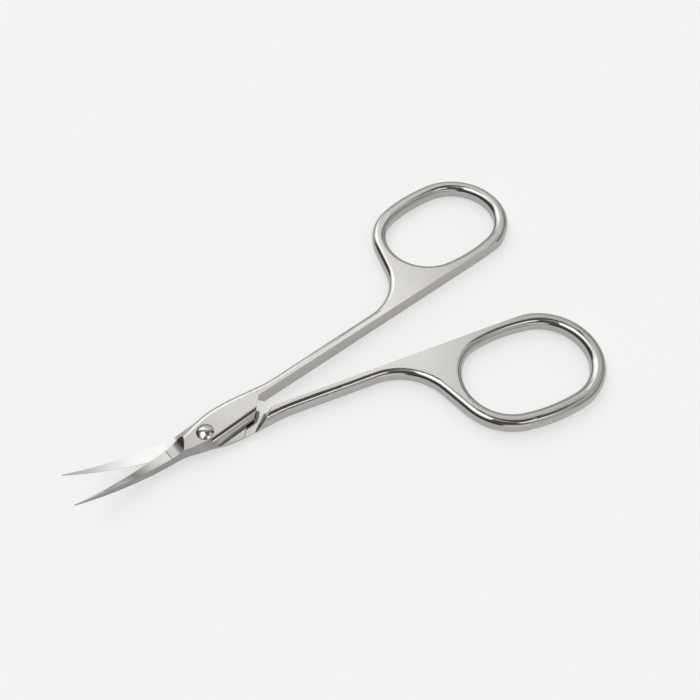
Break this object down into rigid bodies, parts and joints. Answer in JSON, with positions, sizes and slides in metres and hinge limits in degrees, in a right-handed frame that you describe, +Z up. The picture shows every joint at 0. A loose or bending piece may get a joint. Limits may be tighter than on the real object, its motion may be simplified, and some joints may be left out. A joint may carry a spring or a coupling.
{
  "type": "cuticle scissors",
  "caption": "Fine curved-blade steel scissors with oval finger rings, lapped at a slotted pivot screw, for trimming cuticles.",
  "frame": {"origin": "on the pivot axis, level with the flat underside that lies on a table", "axes": "+X from the pivot towards the finger rings, midway between the handles; +Z up, towards the screw's head; the blades point along -X and curve up"},
  "size_m": [0.0894, 0.053, 0.0049],
  "materials": {
    "forged_steel": "satin forged flats with mirror-polished rounded edges and fine grinding lines on the blades",
    "screw_steel": "polished domed head"
  },
  "bodies": {
    "lower": {"lower_half": "forged_steel", "pivot_screw": "screw_steel"},
    "upper": {"upper_half": "forged_steel"}
  },
  "joints": [
    {"name": "pivot", "type": "hinge", "parent": "lower", "child": "upper", "pos_m": [0, 0, 0], "axis": [0, 0, 1], "range_deg": [-15.1, 130]}
  ]
}
